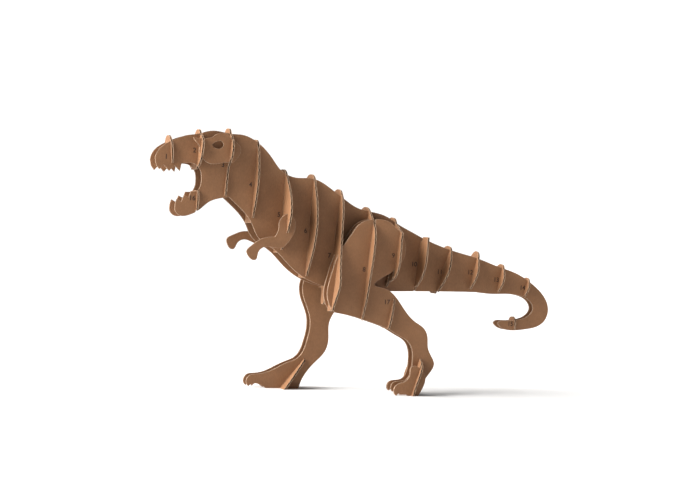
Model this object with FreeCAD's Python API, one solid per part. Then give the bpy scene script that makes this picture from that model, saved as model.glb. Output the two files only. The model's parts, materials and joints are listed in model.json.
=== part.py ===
import FreeCAD, Part
import math
import os

# A tyrannosaur built from flat corrugated boards that push together with half-lap slots.
# Millimetres.  The head points to -X, the animal's left side is -Y and the feet stand on
# Z = 0.  Side-view outlines are drawn as (x, z) from a line through the hips; at export
# everything moves by CENTRE_SHIFT, so that the origin is under the middle of the model.

BOARD = 2.0            # thickness of the corrugated board
FIT = 0.15             # gap on each side of a board in its slot
SEAT = 0.15            # gap from each slot's blind end to the middle of the lap
CENTRE_SHIFT = 0.45    # from the hip drawing's origin to the middle of the whole length

PLATE_Y = 11.5         # each body plate from the middle plane, from the snout to the hips
TAIL_Y = 3.2           # the same at the tail's end, where the two plates come together
TAIL_X = 214.0
BEND_X = 0.0           # middle of the stretch where each body plate bends inwards
BEND_RUN = 40.0        # length of the bend on either side of BEND_X

EYE_Y = 20.0           # eye plates, arms, leg plates and toe plates from the middle plane
ARM_Y = 28.0
LEG_INNER_Y = 18.0
LEG_OUTER_Y = 29.0
TOE_Y = 38.5
LEG_MID_Y = (LEG_INNER_Y + LEG_OUTER_Y) / 2

RAISED_ARM = 15.0      # degrees that the right arm is turned up about its shoulder
HEAD_LEAN = 3.3        # of the two ribs that the eye plates slide down between
SIDES = {"left": -1, "right": 1}
REACH = 400.0          # longer than any piece, for cutting tools

V = FreeCAD.Vector


# ---------------------------------------------------------------- boards

def outline_edges(stretches, to_vector, level_start=False):
    """Edges through stretches of points: one new point is a straight cut, more are a curve.

    Each stretch after the first starts where the one before it ends.  With level_start the
    first curve sets off along Y, so that its mirror image carries it on without a corner.
    """
    edges = []
    points = []
    for stretch in stretches:
        points = points[-1:] + list(stretch)
        vectors = [to_vector(point) for point in points]
        if len(vectors) == 2:
            edges.append(Part.makeLine(vectors[0], vectors[1]))
            continue
        curve = Part.BSplineCurve()
        if level_start and not edges:
            flags = [True] + [False] * (len(vectors) - 1)
            curve.interpolate(Points=vectors, Tangents=[V(0, 1, 0)] * len(vectors),
                              TangentFlags=flags)
        else:
            curve.interpolate(vectors)
        edges.append(curve.toShape())
    return edges


def side_board(stretches, y_mid, thickness=BOARD):
    """A flat board parallel to the middle plane, from a side-view outline.

    A straight cut closes the outline if its last point isn't already its first.
    """
    low = y_mid - thickness / 2
    first = stretches[0][0]
    closed = stretches if stretches[-1][-1] == first else stretches + [[first]]
    edges = outline_edges(closed, lambda point: V(point[0], low, point[1]))
    return Part.Face(Part.Wire(edges)).extrude(V(0, thickness, 0))


def plate_y(x):
    """Distance of a body plate's middle from the middle plane, at a station along the body."""
    slope = (PLATE_Y - TAIL_Y) / (TAIL_X - BEND_X)
    past = x - (BEND_X - BEND_RUN)
    if past <= 0:
        return PLATE_Y
    if past < 2 * BEND_RUN:
        return PLATE_Y - slope * past ** 2 / (4 * BEND_RUN)
    return PLATE_Y - slope * (x - BEND_X)


def bent_sheet(side):
    """The sheet that a body plate is cut from: straight, a gentle arc, then straight."""
    stations = [-TAIL_X - 10, BEND_X - BEND_RUN, BEND_X + BEND_RUN, TAIL_X + 10]
    ring = []
    ends = []
    for offset in (-BOARD / 2, BOARD / 2):
        spots = [V(x, side * (plate_y(x) + offset), 0) for x in stations]
        middle = V(BEND_X, side * (plate_y(BEND_X) + offset), 0)
        ring.append(Part.makeLine(spots[0], spots[1]))
        ring.append(Part.Arc(spots[1], middle, spots[2]).toShape())
        ring.append(Part.makeLine(spots[2], spots[3]))
        ends.append((spots[0], spots[3]))
    for one, other in zip(ends[0], ends[1]):
        ring.append(Part.makeLine(one, other))
    return Part.Face(Part.Wire(Part.__sortEdges__(ring))).extrude(V(0, 0, REACH))


class Rib:
    """A board across the body, drawn as (y, w) in its own leaning plane.

    w runs up the board from its foot, a point (x, z) of the side view.  The board leans from
    there by so many degrees, top towards the tail.  The outline is its right half, from the
    middle of the top to the middle of the foot; the left half is its mirror image.
    """

    def __init__(self, foot, lean, half_outline, y_mid=0.0):
        self.foot = foot
        self.lean = math.radians(lean)
        self.y_mid = y_mid
        self.placement = FreeCAD.Placement(V(foot[0], y_mid, foot[1]),
                                           FreeCAD.Rotation(V(0, 1, 0), lean))
        right = outline_edges(half_outline, lambda point: V(-BOARD / 2, *point), True)
        left = Part.Compound(right).mirror(V(0, 0, 0), V(0, 1, 0)).Edges
        wire = Part.Wire(Part.__sortEdges__(right + left))
        self.shape = Part.Face(wire).extrude(V(BOARD, 0, 0))
        self.shape.Placement = self.placement

    def box(self, thickness, y_low, y_high, w_low, w_high):
        """A box in the rib's plane, with y measured from the rib's own middle."""
        block = Part.makeBox(thickness, y_high - y_low, w_high - w_low,
                             V(-thickness / 2, y_low, w_low))
        block.Placement = self.placement
        return block

    def cut_slot(self, y_low, y_high, w_low, w_high):
        self.shape = self.shape.cut(self.box(4 * BOARD, y_low, y_high, w_low, w_high))

    def lap(self, boards, y_middles, w_lap, opens_down=True):
        """Half-lap the rib with flat side boards and return the boards with their slots.

        opens_down says which way the rib's own slots open; the boards' slots open the other
        way, and the two meet at w_lap.
        """
        below = (-REACH, w_lap + SEAT)
        above = (w_lap - SEAT, REACH)
        rib_run, board_run = (below, above) if opens_down else (above, below)
        half = BOARD / 2 + FIT
        for y in y_middles:
            self.cut_slot(y - self.y_mid - half, y - self.y_mid + half, *rib_run)
        cutter = self.box(2 * half, -REACH, REACH, *board_run)
        return [board.cut(cutter) for board in boards]

    def lap_body(self, plates, w_lap, w_top, opens_down=True):
        """Half-lap the rib with both body plates; w_top is where the rib leaves the plates.

        The plates may come closer together along the rib, so its slots take in that taper.
        The plates' slots stop just past their own edge, clear of the rest of the outline.
        """
        margin = 12
        below = (-margin, w_lap + SEAT)
        above = (w_lap - SEAT, w_top + margin)
        rib_run, board_run = (below, above) if opens_down else (above, below)
        distances = [plate_y(self.foot[0] + w * math.sin(self.lean)) for w in (0, w_top)]
        half = BOARD / 2 + FIT
        near = min(distances) - half
        far = max(distances) + half
        self.cut_slot(near, far, *rib_run)
        self.cut_slot(-far, -near, *rib_run)
        cutter = self.box(2 * half, -2 * PLATE_Y, 2 * PLATE_Y, *board_run)
        return [plate.cut(cutter) for plate in plates]


# ---------------------------------------------------------------- side-view outlines

def body_outline():
    """One outline for both body plates: back, hooked tail, belly, chest and open jaws."""
    back = [(-214, 218), (-213.4, 222), (-209.5, 228.8), (-203, 234), (-195, 238.2),
            (-184, 242.6), (-173, 244.7), (-166, 247.2), (-158, 248.6), (-149, 247.8),
            (-140, 246.8), (-131, 246.8), (-120.4, 243.8), (-111, 238), (-99, 226),
            (-88.8, 214.4), (-82, 210.8), (-72, 208.9), (-62, 209.4), (-50, 207.3),
            (-40, 202), (-22, 190.4), (-10, 183.6), (2, 180.6), (12, 179.2), (24, 175.8),
            (36, 169.2), (49, 163.2), (62, 157.4)]
    tail = [(84, 149.4), (104, 144), (125, 139.4), (152, 131.2), (174, 124.8), (192, 115.2),
            (207, 102.5), (213.1, 89), (210, 77.5), (201, 70.5), (187, 67.2), (168, 65.8),
            (160, 67.6), (154.4, 72.2)]
    hook = [(155.5, 74), (165, 75.6), (178, 76.8), (189, 80.6), (194.8, 88.6), (190.8, 96.8),
            (181, 101.6), (160, 103.3), (132, 104)]
    belly = [(100, 103.6), (52, 102.3), (0, 101), (-25, 102), (-41, 104.5), (-59, 110.8),
             (-76.5, 123), (-88, 134.2), (-98, 140.8)]
    chest = [(-107, 146.4), (-112, 152.5), (-116, 161), (-122, 169.6), (-133, 179.8),
             (-140.5, 186)]
    jaw = [(-150, 184.2), (-159.5, 180.6), (-169.5, 172), (-179, 166.8), (-187.5, 165.8),
           (-192.4, 170), (-193, 174.5), (-191.4, 181.5)]
    lower_teeth = [(-187, 179), (-184.6, 185.4), (-180, 183.4), (-178.2, 189.4), (-172, 189.8)]
    mouth = [(-169.2, 194.6), (-168.4, 202), (-169.8, 209.6), (-174.5, 215), (-181, 216.4),
             (-188.6, 214.8)]
    upper_teeth = [(-189.8, 208), (-195.4, 213.2), (-200, 207.4), (-205.6, 213),
                   (-209.6, 208.4), (-212.8, 212.6)]
    lower_cuts = [[point] for point in lower_teeth]
    upper_cuts = [[point] for point in upper_teeth]
    return [back, tail, hook, belly, chest, jaw] + lower_cuts + [mouth] + upper_cuts


def eye_outline():
    """Brow horn at the front, cheek below and a rounded lobe behind the rear slot."""
    top = [(-180, 240.4), (-174, 239.6), (-167, 240.4), (-162, 241.8), (-157, 245.2),
           (-151, 246.4), (-146, 245)]
    back = [(-139, 238.8), (-134.4, 234.6), (-133.6, 229.6), (-137, 222.6), (-141, 218.4)]
    cheek = [(-151, 217.8), (-159, 216.2), (-165, 217), (-170.5, 221.5), (-174, 228)]
    return [top, back, cheek, [(-174.4, 233), (-177.6, 236.4), (-180, 240.4)]]


def eye_hole():
    """A pointed oval in the upper half of the eye plate."""
    return [[(-162, 234.4), (-158.4, 237.4), (-152, 238), (-150.6, 234.6), (-154.4, 231.2),
             (-159, 231.6), (-162, 234.4)]]


def arm_outline():
    """Round shoulder, upper arm hanging down, forearm reaching forward, two-clawed hand."""
    shoulder = [(-93.8, 160), (-91.5, 169), (-86, 172.6), (-80, 169.5), (-77.4, 162),
                (-79, 154), (-83, 147), (-89, 140.2)]
    forearm = [(-99, 140), (-108, 139.8), (-113.5, 134.5), (-115.4, 127.6), (-118.8, 127)]
    hand = [(-123.6, 131.2), (-125, 135), (-120.5, 140.6), (-113.5, 146.2), (-104, 149.6),
            (-97.5, 150.2)]
    return [shoulder, forearm, hand, [(-95, 155), (-93.8, 160)]]


def thigh_back():
    """Round rear of the thigh, from its top to the knee's hollow, shared by both legs."""
    return [(-20, 156), (-14, 165), (-4, 171), (7, 172.6), (17, 171.4), (26, 165.6),
            (34.6, 156.5), (37.6, 146), (36.6, 136), (30.5, 127), (22, 119.6)]


def leg_outline_left():
    """The leg that trails: thigh, bent knee, upright shank and a foot with one claw."""
    thigh_front = [(-33, 79.4), (-39, 86), (-42, 97), (-40.6, 109), (-36, 126), (-29, 143)]
    shank_back = [(8.6, 106.6), (19, 104.2), (29.4, 97.2), (41.2, 82.6), (51.8, 72.8),
                  (61.6, 66.4), (66, 57.6), (67, 47), (71, 39), (74.4, 31), (71.6, 24),
                  (64.6, 14.5), (59, 4), (55.6, 0)]
    toe = [(36.4, 5.2), (33, 4), (31.2, 3)]
    foot_top = [(29.2, 6.4), (30.4, 11), (36, 13.4), (45, 15.2), (49.4, 21.5), (51, 33),
                (50.4, 43), (45.6, 52.6)]
    shin = [(36, 58.2), (24, 64.6), (5, 71), (-6, 74.2), (-18, 77)]
    return [thigh_front + thigh_back(), shank_back, [(38.6, 0)], toe, foot_top + shin]


def leg_outline_right():
    """The leg that leads: straight under the body, with its foot reaching forward."""
    thigh_front = [(-42.4, 66), (-43.6, 74), (-46.6, 82), (-51, 93), (-51.4, 107),
                   (-44, 122), (-31, 140)]
    shank_back = [(10, 104.6), (-5.4, 91), (-17, 78), (-22.4, 66), (-22.2, 50), (-25.2, 38),
                  (-35.8, 26.2), (-45.2, 14.8), (-50.8, 2.4)]
    toe = [(-95, 4.4), (-100, 4.2), (-103.4, 1.6)]
    foot_top = [(-106, 7), (-103, 12.2), (-94, 14), (-86, 15.6), (-76, 20.2), (-64, 26),
                (-53.4, 31), (-48.2, 38)]
    shin = [(-44.9, 48), (-42.9, 57), (-42.4, 66)]
    return [thigh_front + thigh_back(), shank_back, [(-52, 0)], [(-86, 0)], toe,
            foot_top + shin]


def toe_outline_left():
    """The outer toe: a rounded claw in front and a tall tongue that grips the foot rib."""
    tongue = [(43.6, 0), (54.8, 0)]
    rear = [(58.2, 6), (61.6, 19), (57.6, 25.6), (50.8, 29.6)]
    instep = [(45.6, 27.6), (44.6, 19), (38.6, 13.4), (31.6, 10.8), (28.8, 5.8), (31.4, 0)]
    web = [(34.2, 2.2), (38.2, 2.6), (43.6, 0)]
    return [tongue, rear, instep, web]


def toe_outline_right():
    """The same toe on the leading foot, longer because its foot rib leans further."""
    tongue = [(-80, 0), (-62, 0)]
    rear = [(-54, 9), (-48, 17), (-47, 23), (-52, 25.5)]
    instep = [(-60, 22), (-68, 17.5), (-78, 14), (-88, 12.6), (-95, 10), (-96.5, 5), (-94, 0)]
    web = [(-91, 2.4), (-87, 2.6), (-80, 0)]
    return [tongue, rear, instep, web]


# ---------------------------------------------------------------- ribs

def almond(plate, length, shoulder, bulge, crown, drop):
    """Half of the usual rib: a round crown above the plates, bulging sides and a flat foot.

    The half width is shoulder + bulge * sin(pi * w / length).  Between the plates, which are
    at the distance plate from the middle, the foot comes down by drop.
    """
    steps = 6
    side = [(shoulder + bulge * math.sin(math.pi * step / steps), length * step / steps)
            for step in range(steps - 1, -1, -1)]
    over = [(0, length + crown), (shoulder * 0.6, length + crown * 0.72), (shoulder, length)]
    return [over, side, [(plate, 0)], [(plate, -drop)], [(0, -drop)]]


# name: foot, lean, (length, shoulder, bulge, crown, drop) of the almond, and its lap
ALMOND_RIBS = {
    "rib_01_snout": ((-197.4, 215.0), -4.8, (19.9, 13.5, 2.5, 7.2, 0.4), 10.0),
    "rib_04_neck": ((-116.2, 167.4), 2.3, (68.1, 13.5, 9.0, 8.5, 4.9), 34.5),
    "rib_05_shoulder": ((-85.7, 137.7), 1.3, (74.0, 13.5, 24.0, 5.2, 2.7), 37.0),
    "rib_06_chest": ((-58.9, 113.4), 2.5, (94.4, 13.8, 19.0, 6.2, 2.0), 47.0),
    "rib_11_tail": ((82.9, 103.0), 17.1, (43.8, 11.5, 10.5, 5.3, 2.0), 22.0),
    "rib_12_tail": ((119.6, 107.0), 14.1, (32.1, 10.0, 7.5, 8.1, 1.0), 16.0),
    "rib_13_tail": ((151.9, 105.0), 12.6, (24.7, 9.0, 6.0, 5.0, 1.0), 12.0),
    "rib_14_tail": ((183.6, 101.9), 15.7, (15.9, 7.5, 3.5, 4.0, 0.4), 8.0),
    "rib_15_tail_tip": ((174.0, 66.2), 0.0, (10.3, 6.6, 0.6, 3.5, 0.2), 5.0),
}


def brow_rib():
    """Behind the snout: a narrow crown, and lobes that hold the eye plates."""
    half = [[(0, 38.8), (5.5, 38), (9, 35.4)], [(13.5, 32.5)],
            [(20, 30.5), (24, 27), (26, 17), (22, 8), (13.5, 2)], [(10, 0)], [(0, 0)]]
    return Rib((-172.7, 211), HEAD_LEAN, half)


def skull_rib():
    """Behind the eyes: wide where it holds the eye plates and narrow down the throat."""
    half = [[(0, 65.8), (5.5, 65), (9, 62.4)], [(13.5, 59)],
            [(20, 55.5), (25, 50.5), (27, 41.5), (23.5, 35), (17, 29.5), (15.2, 20), (15, 0)],
            [(0, 0)]]
    return Rib((-144.9, 187), HEAD_LEAN, half)


def front_hip_rib():
    """In front of the thighs: long sides, a lobe around each leg and a middle tongue."""
    half = [[(0, 121.4), (7, 120), (13.5, 115.4)],
            [(19, 109), (27, 85.3), (34, 57), (41, 37), (44, 26), (40.5, 17), (35.5, 8.5),
             (32, 1)],
            [(LEG_INNER_Y - 1, 0)], [(LEG_INNER_Y - 1, 22)], [(9, 22)],
            [(5.5, 18), (4.2, 9), (2.6, 6.6), (0, 6)]]
    return Rib((-36.6, 80), 5.4, half)


def hip_rib():
    """Through the middle of the thighs: sloping shoulders and long lobes to the knees.

    The right lobe is cut shorter, because the leading thigh ends higher up there, and so is
    the tongue between the two plates of the left thigh, which stays hidden in it.
    """
    half = [[(0, 114.4), (7, 113), (14, 109.4)], [(31, 96.4)],
            [(36, 89.5), (39, 80.3), (39.5, 52.2), (36, 20), (30, 0)],
            [(LEG_INNER_Y - 1, 1.5)], [(LEG_INNER_Y - 1, 27)], [(0, 27)]]
    rib = Rib((-5.3, 71), 5.1, half)
    rib.cut_slot(LEG_INNER_Y - 2, LEG_OUTER_Y + 20, -5, 10)
    rib.cut_slot(-LEG_OUTER_Y, -LEG_INNER_Y + 2, -5, 4.5)
    return rib


def rump_rib():
    """Through the back of the thighs: sloping shoulders and a rounded underside."""
    half = [[(0, 70.4), (7, 69), (13, 63.8)], [(34, 54.3)],
            [(37.5, 35.2), (37.7, 17), (32, 9.6), (19, 5), (13, 0)], [(0, 0)]]
    return Rib((25.8, 106), 6.8, half)


def tail_root_rib():
    """At the root of the tail, pushed in from below: square shoulders above the plates."""
    half = [[(0, 46), (13.4, 46.5)], [(13.6, 50.9)], [(26.6, 50.9)],
            [(28.6, 38), (29, 20), (24, 9), (17, 3), (13, 0)], [(0, 0)]]
    return Rib((58.1, 106.9), 6.1, half)


def jaw_rib():
    """Across the lower jaw, pushed in from below until its top is level with the plates."""
    half = [[(0, 19.2), (13.6, 19.2)], [(15.5, 14), (15.5, 6), (13.8, 0)], [(0, 0)]]
    return Rib((-171.5, 171.4), 0.0, half)


def knee_rib(foot, side):
    """A small rib that ties the two plates of one leg together behind the knee."""
    half = [[(0, 30.8), (5, 30.6), (8.2, 29)], [(10.2, 18), (10.5, 9), (8.5, 0)], [(0, 0)]]
    return Rib(foot, 9.5, half, side * LEG_MID_Y)


def foot_rib(foot, lean, side, shoulder):
    """A rib under one foot that spreads towards the ground and is cut level with it.

    shoulder is a point (y, w) of its side below the round top.
    """
    half = [[(0, 38.5), (6, 38), (10, 35.5)], [shoulder, (18.6, 8), (20.5, -2)], [(0, -2)]]
    rib = Rib(foot, lean, half, side * LEG_MID_Y)
    ground = Part.makeBox(2 * REACH, 2 * REACH, REACH, V(-REACH, -REACH, -REACH))
    rib.shape = rib.shape.cut(ground)
    return rib


# ---------------------------------------------------------------- assembly

def head_and_body(nodes):
    """The two body plates and every rib that crosses them, half-lapped together."""
    plates = [side_board(body_outline(), 0, 4 * PLATE_Y).common(bent_sheet(side))
              for side in SIDES.values()]
    for name, (foot, lean, almond_sizes, w_lap) in ALMOND_RIBS.items():
        rib = Rib(foot, lean, almond(plate_y(foot[0]), *almond_sizes))
        plates = rib.lap_body(plates, w_lap, almond_sizes[0])
        nodes[name] = rib
    special = {"rib_02_brow": (brow_rib(), 17.0, 33.5, True),
               "rib_03_skull": (skull_rib(), 30.0, 60.0, True),
               "rib_07_front_hip": (front_hip_rib(), 70.0, 115.0, True),
               "rib_08_hip": (hip_rib(), 70.0, 110.0, True),
               "rib_09_rump": (rump_rib(), 32.0, 64.0, True),
               "rib_10_tail_root": (tail_root_rib(), 25.0, 50.0, False),
               "rib_16_lower_jaw": (jaw_rib(), 10.6, 19.2, False)}
    for name, (rib, w_lap, w_top, opens_down) in special.items():
        plates = rib.lap_body(plates, w_lap, w_top, opens_down)
        nodes[name] = rib
    return plates


def eye_plates(nodes):
    """An eye plate on each side, dropped into the brow and skull ribs."""
    boards = [side_board(eye_outline(), side * EYE_Y).cut(side_board(eye_hole(), side * EYE_Y))
              for side in SIDES.values()]
    middles = [side * EYE_Y for side in SIDES.values()]
    boards = nodes["rib_02_brow"].lap(boards, middles, 20.0, opens_down=False)
    return nodes["rib_03_skull"].lap(boards, middles, 44.0, opens_down=False)


def arms(nodes):
    """An arm on each side, pushed up into the lobes of the shoulder rib."""
    left = side_board(arm_outline(), -ARM_Y)
    right = side_board(arm_outline(), ARM_Y)
    right.rotate(V(-85.6, ARM_Y, 160), V(0, 1, 0), RAISED_ARM)
    middles = [side * ARM_Y for side in SIDES.values()]
    return nodes["rib_05_shoulder"].lap([left, right], middles, 25.3)


def legs(nodes):
    """Two plates for each leg, held by the hip ribs and by a rib at the knee and the foot."""
    shapes = {}
    hip_laps = {"rib_07_front_hip": 32.0, "rib_08_hip": 49.0, "rib_09_rump": 35.2}
    outlines = {"left": (leg_outline_left(), toe_outline_left()),
                "right": (leg_outline_right(), toe_outline_right())}
    knee_feet = {"left": (23.0, 65.0), "right": (-15.0, 81.5)}
    foot_places = {"left": ((48.3, 0.0), 17.3, -1, (17.8, 30.0)),
                   "right": ((-70.0, 0.0), 38.7, 1, (14.4, 22.0))}
    for name, side in SIDES.items():
        leg, toe = outlines[name]
        leg_middles = [side * LEG_INNER_Y, side * LEG_OUTER_Y]
        boards = [side_board(leg, y) for y in leg_middles]
        for rib_name, w_lap in hip_laps.items():
            boards = nodes[rib_name].lap(boards, leg_middles, w_lap)
        knee = knee_rib(knee_feet[name], side)
        boards = knee.lap(boards, leg_middles, 15.0, opens_down=False)
        foot = foot_rib(*foot_places[name])
        boards = foot.lap(boards, leg_middles, 19.0, opens_down=False)
        toe_board = side_board(toe, side * TOE_Y)
        toe_board, = foot.lap([toe_board], [side * TOE_Y], 10.0, opens_down=False)
        shapes["leg_" + name + "_inner"], shapes["leg_" + name + "_outer"] = boards
        shapes["toe_plate_" + name] = toe_board
        nodes["knee_rib_" + name] = knee
        nodes["foot_rib_" + name] = foot
    return shapes


def build():
    ribs = {}
    plates = head_and_body(ribs)
    shapes = dict(zip(("body_plate_left", "body_plate_right"), plates))
    shapes.update(zip(("eye_plate_left", "eye_plate_right"), eye_plates(ribs)))
    shapes.update(zip(("arm_left", "arm_right"), arms(ribs)))
    shapes.update(legs(ribs))
    shapes.update((name, rib.shape) for name, rib in ribs.items())
    return shapes


os.makedirs("parts", exist_ok=True)
for node, shape in build().items():
    shape.translate(V(CENTRE_SHIFT, 0, 0))
    shape.exportStep("parts/" + node + ".step")
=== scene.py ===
import json
import math

import bmesh
import bpy
from mathutils import Matrix, Vector


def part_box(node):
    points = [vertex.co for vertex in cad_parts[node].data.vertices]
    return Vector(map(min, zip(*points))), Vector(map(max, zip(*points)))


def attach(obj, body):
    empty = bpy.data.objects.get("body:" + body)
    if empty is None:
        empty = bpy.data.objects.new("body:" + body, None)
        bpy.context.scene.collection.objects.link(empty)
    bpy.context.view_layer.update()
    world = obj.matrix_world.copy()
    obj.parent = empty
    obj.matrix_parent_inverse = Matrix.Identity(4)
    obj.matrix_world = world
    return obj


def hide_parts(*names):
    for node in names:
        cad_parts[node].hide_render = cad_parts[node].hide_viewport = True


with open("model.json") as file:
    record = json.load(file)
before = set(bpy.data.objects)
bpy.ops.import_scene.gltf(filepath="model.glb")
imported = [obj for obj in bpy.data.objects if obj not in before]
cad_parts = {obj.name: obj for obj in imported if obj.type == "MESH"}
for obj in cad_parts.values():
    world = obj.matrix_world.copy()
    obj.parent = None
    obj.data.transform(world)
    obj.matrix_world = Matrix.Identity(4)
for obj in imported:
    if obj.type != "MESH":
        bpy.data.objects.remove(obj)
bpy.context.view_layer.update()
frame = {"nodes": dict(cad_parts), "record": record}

# A tyrannosaur of slotted corrugated boards.  Every CAD board is replaced by a real piece of
# corrugated card: two thin liners and a wavy sheet between them, which shows at each cut edge.
# Metres.  X runs along the body, head at -X, and the animal's left side is -Y.

MM = 0.001

# The corrugated board
HALF_BOARD = 1.0 * MM
LINER = 0.22 * MM            # thickness of each outer paper
FLUTE_PITCH = 6.8 * MM       # length of one wave
FLUTE_PAPER = 0.24 * MM      # thickness of the wavy paper
FLUTE_STEPS = 20             # straight bits to one wave
CREST_OVERLAP = 0.02 * MM    # how far the waves' crests run into the liners
MARGIN = 2 * MM              # how far a cutting tool reaches past its board
CUT_EDGE = 0.5               # a face turned this far from the board's own face is a cut edge
CRISP = math.radians(35)     # edges sharper than this aren't smoothed
SKIN, CUT, SHADED_INSIDE = 0, 1, 2  # the three papers of a board: liner face, cut edge (lightened partly as a painted highlight), and flutes darkened as painted shade

# The body plates' bend, as in the CAD
CENTRE_SHIFT = 0.45 * MM
PLATE_Y = 11.5 * MM
PLATE_SLOPE = (11.5 - 3.2) / 214.0
BEND_RUN = 40.0 * MM

# These ribs' flutes run up and down, and the other ribs' from side to side.
UPRIGHT_FLUTES = ("rib_01_snout", "rib_02_brow", "rib_10_tail_root", "rib_16_lower_jaw")

NODE_BODY = {node: body for body, nodes in frame["record"]["behaviour"]["bodies"].items()
             for node in nodes}


# ---------------------------------------------------------------- materials

EDGE_WEAR_AND_HIGHLIGHT = 0.45 * MM        # how far in from a cut the paper's skin is scuffed and lightened as a painted highlight
MOST_WEAR_AND_HIGHLIGHT = 0.85             # how far the colour turns right at the cut, scuffing and painted highlight together
FIBRE_RELIEF = 0.06 * MM     # height of the fibres

PAPER_DARK = (0.212, 0.1, 0.043)
PAPER_LIGHT = (0.252, 0.12, 0.053)
PAPER_FLECK = (0.55, 0.5, 0.45)
# the colour at a cut's rim: scuffed paper, made lighter as a painted highlight of the rim
# catching light
TORN_AND_HIGHLIT = (0.5, 0.34, 0.23)
SCORCHED = (0.045, 0.02, 0.01)
EVEN = (1.0, 1.0, 1.0)


def noise(tree, source, scale, detail):
    node = tree.nodes.new("ShaderNodeTexNoise")
    node.inputs["Scale"].default_value = scale
    node.inputs["Detail"].default_value = detail
    node.inputs["Roughness"].default_value = 0.6
    tree.links.new(source, node.inputs["Vector"])
    return node.outputs["Fac"]


def ramp(tree, value, low, high, colour_low, colour_high):
    """colour_low where the value is below low, colour_high above high, and between them a mix."""
    node = tree.nodes.new("ShaderNodeValToRGB")
    node.color_ramp.elements[0].position = low
    node.color_ramp.elements[1].position = high
    node.color_ramp.elements[0].color = (*colour_low, 1)
    node.color_ramp.elements[1].color = (*colour_high, 1)
    tree.links.new(value, node.inputs["Fac"])
    return node.outputs["Color"]


def multiply(tree, amount, one, other):
    node = tree.nodes.new("ShaderNodeMix")
    node.data_type = "RGBA"
    node.blend_type = "MULTIPLY"
    node.inputs["Factor"].default_value = amount
    tree.links.new(one, node.inputs["A"])
    tree.links.new(other, node.inputs["B"])
    return node.outputs["Result"]


def rubbed_at_edges(tree, colour, worn_and_highlit):
    """The colour, turning towards the given rim colour within the set width of a cut edge:
    scuffing, and a painted highlight along the rim.
    """
    rounded = tree.nodes.new("ShaderNodeBevel")
    rounded.samples = 6
    rounded.inputs["Radius"].default_value = EDGE_WEAR_AND_HIGHLIGHT
    surface = tree.nodes.new("ShaderNodeNewGeometry")
    likeness = tree.nodes.new("ShaderNodeVectorMath")
    likeness.operation = "DOT_PRODUCT"
    tree.links.new(rounded.outputs["Normal"], likeness.inputs[0])
    tree.links.new(surface.outputs["True Normal"], likeness.inputs[1])
    wear_and_highlight_amount = tree.nodes.new("ShaderNodeMapRange")
    wear_and_highlight_amount.inputs["From Min"].default_value = 0.995
    wear_and_highlight_amount.inputs["From Max"].default_value = 0.9
    wear_and_highlight_amount.inputs["To Max"].default_value = MOST_WEAR_AND_HIGHLIGHT
    tree.links.new(likeness.outputs["Value"], wear_and_highlight_amount.inputs["Value"])
    wear_and_highlight_mix = tree.nodes.new("ShaderNodeMix")
    wear_and_highlight_mix.data_type = "RGBA"
    tree.links.new(wear_and_highlight_amount.outputs["Result"], wear_and_highlight_mix.inputs["Factor"])
    tree.links.new(colour, wear_and_highlight_mix.inputs["A"])
    wear_and_highlight_mix.inputs["B"].default_value = (*worn_and_highlit, 1)
    return wear_and_highlight_mix.outputs["Result"]


def kraft(name, dark, light, fleck, bump, stretch, worn_and_highlit):
    """Matte kraft paper: cloudy colour, short fibres along the paper's grain and dark flecks.

    stretch scales the fibres' pattern in x, y and z: the fibres lie along a direction whose
    scale is smaller.  bump is the strength of their relief.
    """
    material = bpy.data.materials.new(name)
    material.use_nodes = True
    tree = material.node_tree
    shader = tree.nodes["Principled BSDF"]
    shader.inputs["Roughness"].default_value = 0.66
    shader.inputs["Specular IOR Level"].default_value = 0.45

    place = tree.nodes.new("ShaderNodeTexCoord").outputs["Object"]
    grain = tree.nodes.new("ShaderNodeMapping")
    grain.inputs["Scale"].default_value = stretch
    tree.links.new(place, grain.inputs["Vector"])

    clouds = noise(tree, place, 60.0, 3.0)
    fibres = noise(tree, grain.outputs["Vector"], 900.0, 4.0)
    specks = noise(tree, place, 2600.0, 2.0)
    colour = ramp(tree, clouds, 0.3, 0.7, dark, light)
    fibre_tone = ramp(tree, fibres, 0.3, 0.72, (0.88, 0.87, 0.86), (1.08, 1.08, 1.08))
    speck_tone = ramp(tree, specks, 0.66, 0.74, (1, 1, 1), fleck)
    colour = multiply(tree, 1.0, colour, fibre_tone)
    colour = multiply(tree, 0.7, colour, speck_tone)
    # a lighter rim along each cut: partly scuffing, partly a painted highlight
    colour = rubbed_at_edges(tree, colour, worn_and_highlit)
    tree.links.new(colour, shader.inputs["Base Color"])

    relief = tree.nodes.new("ShaderNodeBump")
    relief.inputs["Strength"].default_value = bump
    relief.inputs["Distance"].default_value = FIBRE_RELIEF
    tree.links.new(fibres, relief.inputs["Height"])
    tree.links.new(relief.outputs["Normal"], shader.inputs["Normal"])
    return material


liner_side = kraft("kraft_liner_side", PAPER_DARK, PAPER_LIGHT, PAPER_FLECK,
                   0.5, (1.0, 1.0, 0.5), TORN_AND_HIGHLIT)
liner_rib = kraft("kraft_liner_rib", PAPER_DARK, PAPER_LIGHT, PAPER_FLECK,
                  0.5, (1.0, 0.5, 1.0), TORN_AND_HIGHLIT)
# cut edges: paper with its fibres bare, made lighter still as a painted highlight
highlit_cut_paper = kraft("kraft_cut_edge_highlit", (0.47, 0.3, 0.19), (0.6, 0.4, 0.265), (0.7, 0.65, 0.6),
                  0.8, EVEN, TORN_AND_HIGHLIT)
# inside of the board: the flutes and the liners' inner faces darkened as painted shade
shaded_flute_paper = kraft("kraft_inside_flutes_shaded", (0.12, 0.055, 0.025), (0.16, 0.078, 0.038),
                    (0.6, 0.55, 0.5), 0.6, EVEN, TORN_AND_HIGHLIT)
ink = kraft("scorched_mark", (0.03, 0.014, 0.008), SCORCHED, (0.8, 0.8, 0.8),
            0.3, EVEN, SCORCHED)


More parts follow.
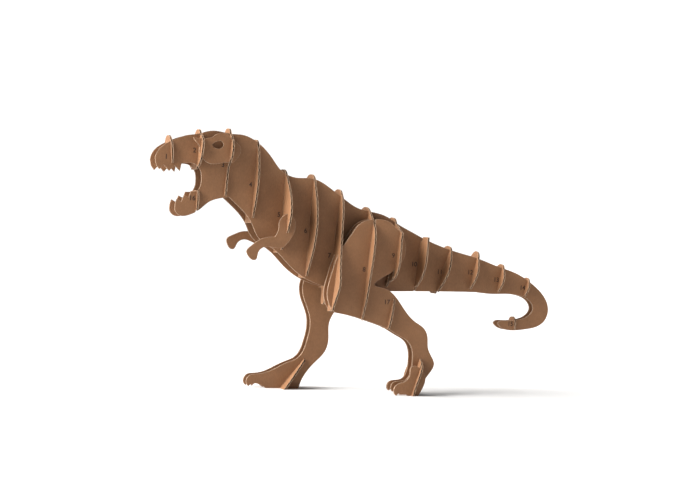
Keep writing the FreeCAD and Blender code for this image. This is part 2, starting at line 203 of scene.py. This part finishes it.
# ---------------------------------------------------------------- paths of the wavy paper

def straight_path(start, along, normal, length):
    """Points (place, normal, distance from the start) along a flat board's middle."""
    count = math.ceil(length / FLUTE_PITCH * FLUTE_STEPS)
    step = length / count
    return [(start + along * (step * index), normal, step * index) for index in range(count + 1)]


def body_path(side, low_x, high_x):
    """The same along a bent body plate, seen from above."""
    count = math.ceil((high_x - low_x) / FLUTE_PITCH * FLUTE_STEPS)
    path = []
    for index in range(count + 1):
        x = low_x + (high_x - low_x) * index / count
        past = min(max(x - CENTRE_SHIFT + BEND_RUN, 0.0), 2 * BEND_RUN)
        beyond = max(x - CENTRE_SHIFT - BEND_RUN, 0.0)
        inwards = PLATE_SLOPE * (past ** 2 / (4 * BEND_RUN) + beyond)
        slope = PLATE_SLOPE * past / (2 * BEND_RUN)
        normal = Vector((slope, side, 0)).normalized()
        path.append((Vector((x, side * (PLATE_Y - inwards), 0)), normal, x - low_x))
    return path


def body_plate_run(name):
    """(path, across) of a body plate: the waves run along the body, each flute upwards."""
    low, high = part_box(name)
    side = -1 if name.endswith("left") else 1
    path = body_path(side, low.x - MARGIN, high.x + MARGIN)
    path = [(point + Vector((0, 0, low.z - MARGIN)), normal, distance)
            for point, normal, distance in path]
    return path, Vector((0, 0, high.z - low.z + 2 * MARGIN))


def side_board_run(name):
    """(path, across) of a flat board that is parallel to the middle plane."""
    low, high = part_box(name)
    start = Vector((low.x - MARGIN, (low.y + high.y) / 2, low.z - MARGIN))
    path = straight_path(start, Vector((1, 0, 0)), Vector((0, 1, 0)),
                         high.x - low.x + 2 * MARGIN)
    return path, Vector((0, 0, high.z - low.z + 2 * MARGIN))


def rib_normal(node):
    """The normal of a rib's large faces, towards the tail."""
    normal = max(node.data.polygons, key=lambda face: face.area).normal.copy()
    return normal if normal.x > 0 else -normal


def rib_run(name, node):
    """(path, across) of a rib, which leans in its own plane."""
    low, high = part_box(name)
    normal = rib_normal(node)
    up = normal.cross(Vector((0, 1, 0)))
    up = up if up.z > 0 else -up
    points = [vertex.co for vertex in node.data.vertices]
    heights = [point.dot(up) for point in points]
    depths = [point.dot(normal) for point in points]
    middle = normal * ((min(depths) + max(depths)) / 2)
    foot = middle + up * (min(heights) - MARGIN) + Vector((0, low.y - MARGIN, 0))
    tall = max(heights) - min(heights) + 2 * MARGIN
    wide = high.y - low.y + 2 * MARGIN
    if name in UPRIGHT_FLUTES:
        return straight_path(foot, Vector((0, 1, 0)), normal, wide), up * tall
    return straight_path(foot, up, normal, tall), Vector((0, wide, 0))


def flute_run(name, node):
    """(path, across) for a board's wavy paper: where the waves go, and along each flute."""
    if name.startswith("body_plate"):
        return body_plate_run(name)
    if name.startswith(("leg", "arm", "eye", "toe")):
        return side_board_run(name)
    return rib_run(name, node)


# ---------------------------------------------------------------- corrugated board

def mesh_object(name, mesh):
    made = bpy.data.objects.new(name, mesh)
    bpy.context.scene.collection.objects.link(made)
    return made


def finished_mesh(name, work, papers):
    """A mesh with the papers as its materials, from a bmesh that isn't needed any more."""
    mesh = bpy.data.meshes.new(name)
    work.to_mesh(mesh)
    work.free()
    for paper in papers:
        mesh.materials.append(paper)
    return mesh


def welded_copy(node, name, flat, papers):
    """The CAD board as one closed mesh, with its large faces and its cut edges told apart."""
    work = bmesh.new()
    work.from_mesh(node.data)
    bmesh.ops.remove_doubles(work, verts=work.verts, dist=1e-7)
    mesh = finished_mesh(name, work, papers)
    mesh.attributes.remove(mesh.attributes["custom_normal"])
    for face in mesh.polygons:
        face.material_index = SKIN if abs(face.normal.dot(flat)) > CUT_EDGE else CUT
    return mesh_object(name, mesh)


def ribbon(name, path, across, low, high, papers):
    """A closed ribbon along a path of (point, normal, distance) between two offsets.

    low and high give the offsets along the normal from the distance along the path, and
    across is the vector from one side of the ribbon to the other.
    """
    work = bmesh.new()
    rings = []
    for point, normal, distance in path:
        inner = point + normal * low(distance)
        outer = point + normal * high(distance)
        corners = (inner, outer, outer + across, inner + across)
        rings.append([work.verts.new(corner) for corner in corners])
    for ring, following in zip(rings, rings[1:]):
        for corner in range(4):
            turn = (corner + 1) % 4
            work.faces.new((ring[corner], ring[turn], following[turn], following[corner]))
    work.faces.new(rings[0][::-1])
    work.faces.new(rings[-1])
    bmesh.ops.recalc_face_normals(work, faces=work.faces)
    for face in work.faces:
        # the faces left inside the board take the darkened flute paper, a painted shade
        face.material_index = SHADED_INSIDE
    return mesh_object(name, finished_mesh(name, work, papers))


def cut_with(board, tool, operation):
    """The board's mesh after a boolean with the tool, as a new mesh."""
    modifier = board.modifiers.new("cut", "BOOLEAN")
    modifier.operation = operation
    modifier.object = tool
    modifier.solver = "MANIFOLD"
    graph = bpy.context.evaluated_depsgraph_get()
    mesh = bpy.data.meshes.new_from_object(board.evaluated_get(graph))
    board.modifiers.remove(modifier)
    return mesh


def flute_wave(distance):
    """Offset of the wavy paper's middle, at a distance along its path."""
    reach = HALF_BOARD - LINER - FLUTE_PAPER / 2
    return reach * math.sin(2 * math.pi * distance / FLUTE_PITCH)


def corrugated(name, node):
    """Replaces one CAD board with its two liners and the wavy paper between them."""
    path, across = flute_run(name, node)
    rib = name.startswith(("rib", "knee", "foot"))
    papers = (liner_rib if rib else liner_side, highlit_cut_paper, shaded_flute_paper)
    core = HALF_BOARD - LINER
    solid = welded_copy(node, "solid_" + name, path[0][1], papers)
    gap = ribbon("gap", path, across, lambda d: -core, lambda d: core, papers)
    wave = ribbon("wave", path, across,
                  lambda d: flute_wave(d) - FLUTE_PAPER / 2 - CREST_OVERLAP,
                  lambda d: flute_wave(d) + FLUTE_PAPER / 2 + CREST_OVERLAP, papers)
    work = bmesh.new()
    work.from_mesh(cut_with(solid, gap, "DIFFERENCE"))
    work.from_mesh(cut_with(solid, wave, "INTERSECT"))
    mesh = finished_mesh("board_" + name, work, papers)
    mesh.shade_smooth()
    mesh.set_sharp_from_angle(angle=CRISP)
    for tool in (solid, gap, wave):
        bpy.data.objects.remove(tool)
    board = mesh_object("board_" + name, mesh)
    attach(board, NODE_BODY[name])
    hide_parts(name)


for node_name, node_object in frame["nodes"].items():
    corrugated(node_name, node_object)


# ---------------------------------------------------------------- slot numbers

MARK_SIZE = 6.4 * MM
MARK_STROKE = 0.14 * MM      # how much bolder than the plain font
MARK_DEPTH = 0.02 * MM       # how far a number stands out from its board
MARK_BACK = 5.0 * MM         # a number stands this far ahead of the middle of its rib
MARK_UP = 0.45               # and this far up the rib's height
MARK_UP_OWN = {"rib_01_snout": 0.22, "rib_16_lower_jaw": 0.6, "knee_rib": 0.86}
LEG_RIBS = ("rib_08_hip", "rib_09_rump", "knee_rib")   # their numbers are on the legs


def numeral(text, place, outward, name):
    """A small scorched number that lies flat on a board's outer face, which faces outward."""
    curve = bpy.data.curves.new(name, "FONT")
    curve.body = text
    curve.size = MARK_SIZE
    curve.extrude = MARK_DEPTH
    curve.offset = MARK_STROKE
    curve.align_x = "CENTER"
    curve.align_y = "CENTER"
    written = bpy.data.objects.new(name + "_text", curve)
    bpy.context.scene.collection.objects.link(written)
    graph = bpy.context.evaluated_depsgraph_get()
    mesh = bpy.data.meshes.new_from_object(written.evaluated_get(graph))
    bpy.data.objects.remove(written)
    up = Vector((0, 0, 1))
    facing = Matrix((up.cross(outward), up, outward)).transposed().to_4x4()
    mesh.transform(Matrix.Translation(place) @ facing)
    mesh.materials.clear()
    mesh.materials.append(ink)
    mark = mesh_object(name, mesh)
    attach(mark, "frame")


def outer_face(rib, side, hand, x):
    """(y, direction) of the outer face that the rib's number lies on."""
    if rib in LEG_RIBS:
        low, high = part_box("leg_" + hand + "_outer")
        return (low.y if side < 0 else high.y), Vector((0, side, 0))
    point, normal, _ = body_path(side, x, x + FLUTE_PITCH)[0]
    return (point + normal * HALF_BOARD).y, normal


def slot_numbers():
    """Each rib's number beside its slot, on both sides of the model."""
    ribs = sorted(name for name in frame["nodes"] if name.startswith("rib"))
    for count, rib in enumerate(ribs + ["knee_rib"], start=1):
        for side, hand in ((-1, "left"), (1, "right")):
            low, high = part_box(rib if rib.startswith("rib") else rib + "_" + hand)
            x = (low.x + high.x) / 2 - MARK_BACK
            z = low.z + (high.z - low.z) * MARK_UP_OWN.get(rib, MARK_UP)
            y, outward = outer_face(rib, side, hand, x)
            numeral(str(count), Vector((x, y, z)), outward, "number_" + rib + "_" + hand)


slot_numbers()


# ---------------------------------------------------------------- studio

LIGHT_COLOUR = (1.0, 0.985, 0.965)

# name: the direction that the light stands in, its power, and its width in degrees
SUNS = {"key": ((-0.8, -0.05, 0.6), 5.6, 34),
        "back": ((-0.5, 0.5, 0.7), 1.4, 34),
        "low_front": ((-0.95, -0.3, 0.1), 2.3, 26),
        "low_back": ((-0.98, 0.1, 0.12), 2.4, 26)}

BACKDROP = 1.1                              # brightness that the camera sees
AMBIENT = (0.06, 0.42)                      # weakest and strongest light from all round
AMBIENT_FROM = Vector((-0.15, 0.58, 0.8))   # it is strongest from this way

FLOOR_REACH = 30             # metres from the middle to each edge
FLOOR_DROP = 0.02 * MM       # the floor lies this far below the feet

CAMERA_TURN = math.radians(20)     # from square to the left side, round towards the head
CAMERA_ROLL = math.radians(2.8)
CAMERA_DISTANCE = 1.4
CAMERA_AIM = Vector((-9.55 * MM, 0, 141 * MM))
LENS = 72                          # on a sensor 36 wide


def soft_sun(name, stands, power, spread):
    """A wide, soft light from far away, that stands in the given direction."""
    data = bpy.data.lights.new(name, "SUN")
    data.energy = power
    data.angle = math.radians(spread)
    data.color = LIGHT_COLOUR
    sun = bpy.data.objects.new(name, data)
    sun.rotation_euler = Vector(stands).to_track_quat("Z", "Y").to_euler()
    bpy.context.scene.collection.objects.link(sun)


def studio_world():
    """A white backdrop, whose light is weaker from the front and right than from behind."""
    world = bpy.data.worlds.new("studio")
    world.use_nodes = True
    nodes = world.node_tree.nodes
    links = world.node_tree.links
    backdrop = nodes["Background"]
    backdrop.inputs["Color"].default_value = (1, 1, 1, 1)
    backdrop.inputs["Strength"].default_value = BACKDROP

    direction = nodes.new("ShaderNodeTexCoord")
    facing = nodes.new("ShaderNodeVectorMath")
    facing.operation = "DOT_PRODUCT"
    facing.inputs[1].default_value = AMBIENT_FROM
    strength = nodes.new("ShaderNodeMapRange")
    strength.inputs["From Min"].default_value = -1.0
    strength.inputs["From Max"].default_value = 1.0
    strength.inputs["To Min"].default_value = AMBIENT[0]
    strength.inputs["To Max"].default_value = AMBIENT[1]
    ambient = nodes.new("ShaderNodeBackground")
    links.new(direction.outputs["Generated"], facing.inputs[0])
    links.new(facing.outputs["Value"], strength.inputs["Value"])
    links.new(strength.outputs["Result"], ambient.inputs["Strength"])

    seen = nodes.new("ShaderNodeLightPath")
    choose = nodes.new("ShaderNodeMixShader")
    links.new(seen.outputs["Is Camera Ray"], choose.inputs[0])
    links.new(ambient.outputs["Background"], choose.inputs[1])
    links.new(backdrop.outputs["Background"], choose.inputs[2])
    links.new(choose.outputs["Shader"], nodes["World Output"].inputs["Surface"])
    return world


def pale_floor():
    material = bpy.data.materials.new("pale_floor")
    material.use_nodes = True
    shader = material.node_tree.nodes["Principled BSDF"]
    shader.inputs["Base Color"].default_value = (0.8, 0.8, 0.8, 1)
    shader.inputs["Roughness"].default_value = 0.9
    corners = [(-FLOOR_REACH, -FLOOR_REACH, 0), (FLOOR_REACH, -FLOOR_REACH, 0),
               (FLOOR_REACH, FLOOR_REACH, 0), (-FLOOR_REACH, FLOOR_REACH, 0)]
    mesh = bpy.data.meshes.new("floor")
    mesh.from_pydata(corners, [], [(0, 1, 2, 3)])
    mesh.materials.append(material)
    floor = mesh_object("floor", mesh)
    floor.location.z = -FLOOR_DROP


def level_camera():
    """A camera at the height of the body's middle, looking level and rolled a little."""
    data = bpy.data.cameras.new("camera")
    data.sensor_width = 36
    data.lens = LENS
    data.clip_start = 0.05
    data.clip_end = 100
    camera = bpy.data.objects.new("camera", data)
    bpy.context.scene.collection.objects.link(camera)
    forward = Vector((math.sin(CAMERA_TURN), math.cos(CAMERA_TURN), 0))
    camera.location = CAMERA_AIM - forward * CAMERA_DISTANCE
    camera.rotation_mode = "QUATERNION"
    level = forward.to_track_quat("-Z", "Y")
    camera.rotation_quaternion = level @ Matrix.Rotation(CAMERA_ROLL, 3, "Z").to_quaternion()
    return camera


for sun_name, settings in SUNS.items():
    soft_sun(sun_name, *settings)
bpy.context.scene.world = studio_world()
pale_floor()
bpy.context.scene.camera = level_camera()
bpy.context.scene.view_settings.view_transform = "Standard"
